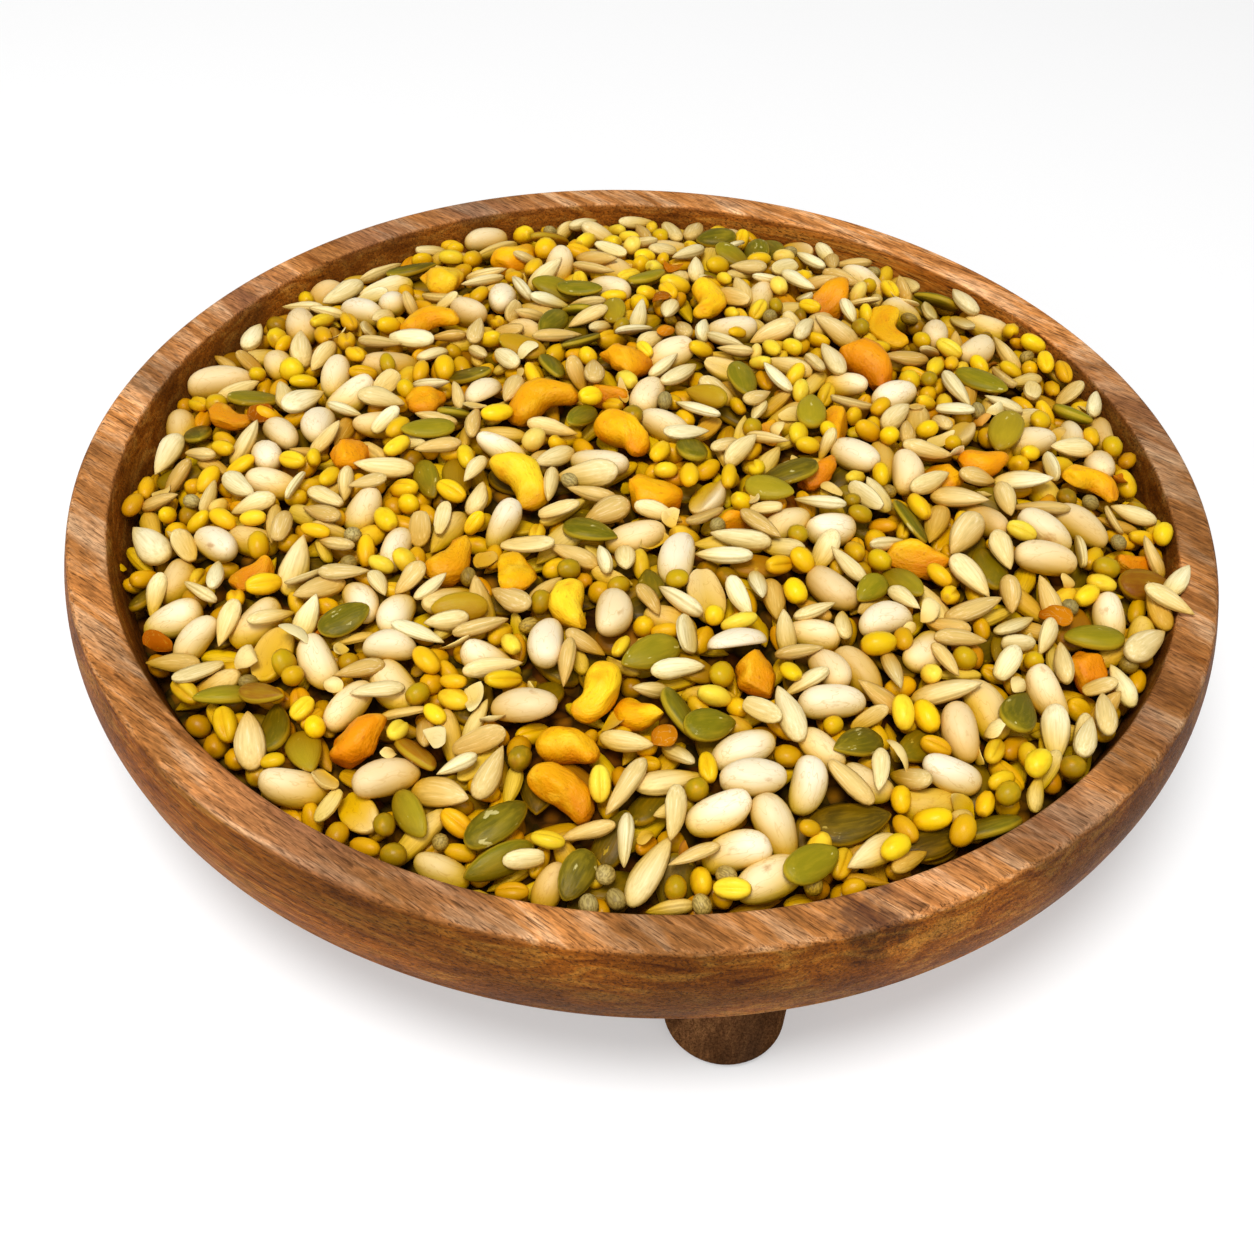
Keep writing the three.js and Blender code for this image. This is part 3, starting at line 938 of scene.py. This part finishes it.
def make_core():
    """The inside of the heap, under the pieces that show, dark with painted shade."""
    floor = RIM_Z - CAVITY_DEPTH + WALL_GAP
    reach = INNER_RADIUS - EDGE_DROP * np.tan(WALL_LEAN) - WALL_GAP
    share = np.linspace(1, 0, CORE_RINGS + 1)
    top = np.column_stack([reach * share, np.zeros(CORE_RINGS + 1)])
    foot = WALL_FOOT - WALL_GAP
    below = outline(
        line((0, floor), (FLOOR_RADIUS, floor), 2),
        curve((FLOOR_RADIUS, floor), (foot - FILLET_REACH, floor), (foot, RIM_Z - WALL_DEPTH), 6),
    )
    profile = np.concatenate([below, top])
    rng = np.random.default_rng(SEED + 1)
    waves = rng.uniform(-1, 1, (CORE_WAVES, 2)) * CORE_SHARPEST
    phases = rng.uniform(0, 2 * np.pi, CORE_WAVES)

    def raise_top(r, z, a):
        x, y = r * np.cos(a), r * np.sin(a)
        relief = sum(np.sin(x * wave[0] + y * wave[1] + phase) for wave, phase in zip(waves, phases))
        height = heap_top(x, y) - CORE_UNDER + CORE_RELIEF * relief
        limit = INNER_RADIUS - (RIM_Z - height) * np.tan(WALL_LEAN) - WALL_GAP
        on_top = np.arange(r.shape[1])[None, :] >= len(below) - 1
        r = np.where(on_top, np.minimum(r, limit), r)
        return r, np.where(on_top, height, z)

    points, faces = lathe(profile, CORE_SIDES, raise_top)
    points[-1, 2] = heap_top(0, 0) - CORE_UNDER
    core = new_object("heap_core", points, faces)
    core.data.materials.append(core_material())
    return core


def core_material():
    """The grains too deep in the heap to be seen apart, in colours darkened as painted shade."""
    n = Nodes("heap_core")
    cells = n.add("ShaderNodeTexVoronoi", {"Vector": n.coordinates(), "Scale": CORE_GRAINS})
    kind = n.add("ShaderNodeSeparateColor", {"Color": cells.outputs["Color"]}).outputs[0]
    # Painted shade: darker ochres than the grains on top.
    base = n.ramp(kind, [(0.2, (110, 60, 4)), (0.5, (150, 96, 8)), (0.8, (96, 70, 6))])
    # Painted shade: each grain darkens towards the edge of its cell.
    base = n.tint(base, n.ramp(cells.outputs["Distance"], [(0.2, 1.0), (0.6, 0.2)]))
    n.set(Base_Color=base, Roughness=0.8, Specular_IOR_Level=0.05)
    n.set(Normal=n.bump(cells.outputs["Distance"], -0.001))
    return n.material


# ---- colours of the pieces -------------------------------------------------

FINE_GRAIN = (800, 800, 800)
FINE_RELIEF = 0.00012
COAT_RELIEF = 0.0003
BRIGHTEST = 0.96
DEEP_SHADE_TINT = (228, 195, 8)  # painted warm shade of what lies deep among the pieces
TONE_SPREAD = (37, 23, 51)  # sets the noise of one piece apart from the next one's
SOFT_RADIUS = (1.0, 0.8, 0.4)


def piece_material(name, stops, rough, paint, soft=0.0, relief=FINE_RELIEF, shine=0.14, dim=0.76):
    """Food with a colour of its own for each piece, painted detail, painted warm shade deep in the heap
    and a fine surface. paint gets the colour and gives it back with its marks, and a height for them. dim
    is the darkest piece."""
    n = Nodes(name)
    tone = n.attribute("tone")
    spot = n.attribute("spot")
    own = n.apart(tone)
    base = n.ramp(own["X"], stops)
    base = n.tint(base, n.ramp(own["Y"], [(0.0, dim), (1.0, BRIGHTEST)]))
    base, marks = paint(n, base, spot, tone)
    # Painted warm shade: points that lie deep among the pieces are multiplied by the shade tint.
    base = n.mix(deep_shade(n), base, n.tint(base, DEEP_SHADE_TINT))
    fine = n.noise(n.scaled(n.coordinates(), FINE_GRAIN), 3, 0.6)
    height = n.math("ADD", n.math("MULTIPLY", fine, 0.35), marks)
    n.set(Base_Color=base, Roughness=rough, Normal=n.bump(height, relief), Specular_IOR_Level=shine)
    if soft:
        n.set(Subsurface_Weight=soft, Subsurface_Radius=SOFT_RADIUS, Subsurface_Scale=MM)
    return n.material


def deep_shade(n):
    """Share of the painted warm shade, which grows with depth under the heap's crest."""
    return n.ramp(n.attribute("deep", "Fac"), [(0.1, 0.0), (0.33, 0.5), (0.6, 0.9), (0.85, 1.0)])


def own_noise(n, spot, tone, scale, detail):
    """Noise that keeps to the piece's own length and differs from piece to piece."""
    local = n.vector("MULTIPLY", spot, scale)
    moved = n.vector("ADD", local, n.vector("MULTIPLY", tone, TONE_SPREAD))
    return n.noise(moved, detail, 0.55)


def along_length(n, base, spot, tone):
    """Grey-brown and pale lines from end to end, a browner tip, and painted shade round the edge."""
    lines = own_noise(n, spot, tone, (0.8, 6, 6), 3)
    base = n.mix(n.ramp(lines, [(0.5, 0.0), (0.68, 0.34)]), base, (172, 150, 86))
    base = n.mix(n.ramp(lines, [(0.3, 0.34), (0.46, 0.0)]), base, (250, 240, 208))
    own = n.apart(spot)
    base = n.mix(n.ramp(own["X"], [(0.8, 0.0), (1.0, 0.55)]), base, (160, 118, 60))
    # Painted shade: darker olive-brown round the kernel's edge.
    edge_shade = n.ramp(n.math("ABSOLUTE", own["Z"]), [(0.05, 0.55), (0.22, 0.0)])
    return n.mix(edge_shade, base, (160, 132, 60)), lines


def pale_edge(n, base, spot, tone):
    """A line round the flat edge of a kernel, veins along it, and patches where its skin is off."""
    pale = (180, 152, 30)
    flat = n.math("ABSOLUTE", n.apart(spot)["Z"])
    veins = own_noise(n, spot, tone, (1, 5, 5), 3)
    cloud = own_noise(n, spot, tone, (0.8, 1.1, 1.1), 2)
    bare = own_noise(n, spot, tone, (1.6, 1.6, 1.6), 3)
    base = n.mix(n.ramp(veins, [(0.48, 0.0), (0.68, 0.2)]), base, pale)
    base = n.mix(n.ramp(cloud, [(0.45, 0.0), (0.65, 0.25)]), base, pale)
    base = n.mix(n.ramp(flat, [(0.12, 0.7), (0.34, 0.0)]), base, pale)
    return n.mix(n.ramp(bare, [(0.66, 0.0), (0.7, 0.5)]), base, (226, 212, 140)), veins


def dark_ribs(n, base, spot, tone):
    """Darker stripes from end to end."""
    marks = own_noise(n, spot, tone, (1.5, 5, 5), 2)
    return n.mix(n.ramp(marks, [(0.46, 0.0), (0.56, 0.6)]), base, (112, 94, 50)), marks


def blemishes(n, base, spot, tone):
    """Brown scuffs on some, and fine cracks."""
    scuff = own_noise(n, spot, tone, (1.3, 1.3, 1.3), 4)
    base = n.mix(n.ramp(scuff, [(0.64, 0.0), (0.76, 0.65)]), base, (178, 128, 66))
    crack = own_noise(n, spot, tone, (0.9, 1.8, 1.8), 2)
    thin = n.ramp(crack, [(0.485, 0.0), (0.497, 0.45), (0.503, 0.45), (0.515, 0.0)])
    return n.mix(thin, base, (204, 168, 104)), crack


def turmeric(n, base, spot, tone):
    """Powder that lies thicker in some places, and is rubbed off in others."""
    patch = own_noise(n, spot, tone, (0.8, 0.9, 0.9), 2)
    speck = own_noise(n, spot, tone, (5, 6, 6), 3)
    base = n.mix(n.ramp(patch, [(0.44, 0.0), (0.7, 0.65)]), base, (226, 136, 2))
    base = n.mix(n.ramp(speck, [(0.6, 0.0), (0.72, 0.45)]), base, (170, 88, 4))
    return n.mix(n.ramp(patch, [(0.3, 0.3), (0.42, 0.0)]), base, (254, 218, 64)), speck


def germ_end(n, base, spot, tone):
    """A small brown point at one end, and soft clouds."""
    x = n.apart(spot)["X"]
    cloud = own_noise(n, spot, tone, (1.2, 1.2, 1.2), 3)
    base = n.mix(n.ramp(cloud, [(0.5, 0.0), (0.7, 0.45)]), base, (206, 152, 4))
    return n.mix(n.ramp(x, [(0.9, 0.0), (0.99, 0.6)]), base, (146, 96, 20)), cloud


# The colours a kind ranges over, from one piece to the next.
CREAM = [(0.0, (236, 206, 150)), (0.4, (245, 224, 177)), (1.0, (250, 235, 202))]
KERNEL = [(0.0, (213, 170, 80)), (0.4, (240, 214, 144)), (1.0, (250, 238, 188))]
OLIVE = [
    (0.0, (92, 78, 4)), (0.35, (108, 100, 4)), (0.6, (130, 120, 8)),
    (0.8, (156, 138, 20)), (0.92, (184, 138, 12)), (1.0, (140, 78, 8)),
]
MELON = [(0.0, (232, 200, 129)), (0.5, (245, 222, 158)), (1.0, (250, 235, 188))]
NUT_YELLOW = [(0.0, (230, 146, 2)), (0.35, (243, 176, 4)), (0.8, (252, 198, 8)), (1.0, (254, 218, 42))]
BIT_YELLOW = [(0.0, (228, 140, 2)), (0.35, (241, 172, 4)), (0.8, (250, 196, 8)), (1.0, (252, 218, 48))]
GRAIN = [(0.0, (236, 180, 14)), (0.5, (248, 208, 20)), (1.0, (250, 224, 70))]
BEAN = [(0.0, (214, 160, 8)), (0.35, (246, 206, 10)), (0.8, (250, 218, 38)), (1.0, (240, 212, 128))]
PEA = [(0.0, (150, 120, 8)), (0.35, (190, 156, 8)), (0.7, (240, 198, 8)), (1.0, (248, 213, 28))]
STRIPED = [(0.0, (164, 144, 80)), (1.0, (204, 184, 120))]
SKIN = [(0.0, (160, 86, 4)), (0.2, (206, 128, 10)), (0.26, (238, 208, 130)), (1.0, (248, 232, 172))]

# For each kind: its colours, roughness, painted detail, and what isn't as in piece_material.
LOOKS = {
    "peanuts": (CREAM, 0.42, blemishes, {"soft": 0.08, "dim": 0.81}),
    "sunflower_kernels": (KERNEL, 0.45, along_length, {"dim": 0.79}),
    "pumpkin_kernels": (OLIVE, 0.42, pale_edge, {"shine": 0.12}),
    "melon_kernels": (MELON, 0.46, along_length, {"dim": 0.8}),
    "cashews": (NUT_YELLOW, 0.42, turmeric, {"relief": COAT_RELIEF, "dim": 0.8}),
    "cashew_bits": (BIT_YELLOW, 0.42, turmeric, {"relief": COAT_RELIEF, "dim": 0.8}),
    "yellow_grains": (GRAIN, 0.36, germ_end, {}),
    "small_beans": (BEAN, 0.32, germ_end, {}),
    "round_peas": (PEA, 0.32, germ_end, {}),
    "striped_seeds": (STRIPED, 0.4, dark_ribs, {}),
    "skin_bits": (SKIN, 0.6, blemishes, {"shine": 0.02}),
}


def make_mix():
    """Replaces the CAD heap with its core and one mesh for each kind of piece."""
    heap = fill_heap()
    made = [make_core()]
    crest = heap.crest()
    rng = np.random.default_rng(SEED + 2)
    for name in KINDS:
        laid = [entry for entry in heap.laid if entry[0] == name]
        thing = join_pieces(name, laid, crest, rng)
        stops, rough, paint, more = LOOKS[name]
        thing.data.materials.append(piece_material(name[:-1], stops, rough, paint, **more))
        made.append(thing)
    for thing in made:
        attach(thing, "root")
        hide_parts("mix")


# ---- stage -----------------------------------------------------------------

# The camera: its place and aim in millimetres from the middle of the rim's top, and its lens.
CAMERA_AT = (0.0, -307.2, 256.1)
CAMERA_AIM = (-2.3, -47.7, 0.0)
CAMERA_ROLL = 3.1 * DEG
CAMERA_LENS = 49.7

FLOOR_HALF = 3000.0
FLOOR_GREY = (0.6, 0.6, 0.6, 1)
FLOOR_GLOW = 0.34
WHITE = (1, 1, 1, 1)
WORLD_STRENGTH = 0.36

# The lights: place and diameter in metres, power in watts.
LIGHTS = {
    "key": ((-0.14, -0.46, 1.3), 0.55, 16),
    "side": ((-1.3, -0.8, 0.7), 1.2, 5.5),
    "fill": ((0.35, -1.1, 0.8), 1.2, 5),
}
LIGHTS_AIM = (0, 0, 0.05)


def make_camera():
    data = bpy.data.cameras.new("camera")
    data.lens = CAMERA_LENS
    data.sensor_width = 36.0
    data.clip_start = 0.01
    camera = bpy.data.objects.new("camera", data)
    bpy.context.scene.collection.objects.link(camera)
    rim = Vector((0, 0, RIM_Z * MM))
    place = Vector(CAMERA_AT) * MM + rim
    aim = Vector(CAMERA_AIM) * MM + rim
    look = (aim - place).to_track_quat("-Z", "Y").to_matrix().to_4x4()
    camera.matrix_world = Matrix.Translation(place) @ look @ Matrix.Rotation(CAMERA_ROLL, 4, "Z")
    bpy.context.scene.camera = camera


def make_floor():
    """The light ground of the photo, which glows a little so that it stays even."""
    corners = np.array([[-1, -1, 0], [1, -1, 0], [1, 1, 0], [-1, 1, 0]]) * FLOOR_HALF
    floor = new_object("floor", corners, np.array([[0, 1, 2, 3]]))
    n = Nodes("floor")
    n.set(Base_Color=FLOOR_GREY, Roughness=0.8)
    n.set(Emission_Color=WHITE, Emission_Strength=FLOOR_GLOW)
    floor.data.materials.append(n.material)


def add_light(name, place, size, power):
    data = bpy.data.lights.new(name, "AREA")
    data.shape = "DISK"
    data.size = size
    data.energy = power
    light = bpy.data.objects.new(name, data)
    bpy.context.scene.collection.objects.link(light)
    light.location = place
    way = Vector(LIGHTS_AIM) - Vector(place)
    light.rotation_euler = way.to_track_quat("-Z", "Y").to_euler()


def make_light():
    world = bpy.data.worlds.new("studio")
    world.use_nodes = True
    background = world.node_tree.nodes["Background"].inputs
    background["Color"].default_value = WHITE
    background["Strength"].default_value = WORLD_STRENGTH
    bpy.context.scene.world = world
    for name, (place, size, power) in LIGHTS.items():
        add_light(name, place, size, power)
    bpy.context.scene.view_settings.view_transform = "Standard"


make_camera()
make_floor()
make_light()
make_bowl()
# The feet get the darker copy of the wood: painted shade.
foot_wood = wood_material("foot_wood", FOOT_SHADE_TONES, upright=True, shine=0.0)
for number in range(FOOT_COUNT):
    make_foot(number, foot_wood)
make_mix()
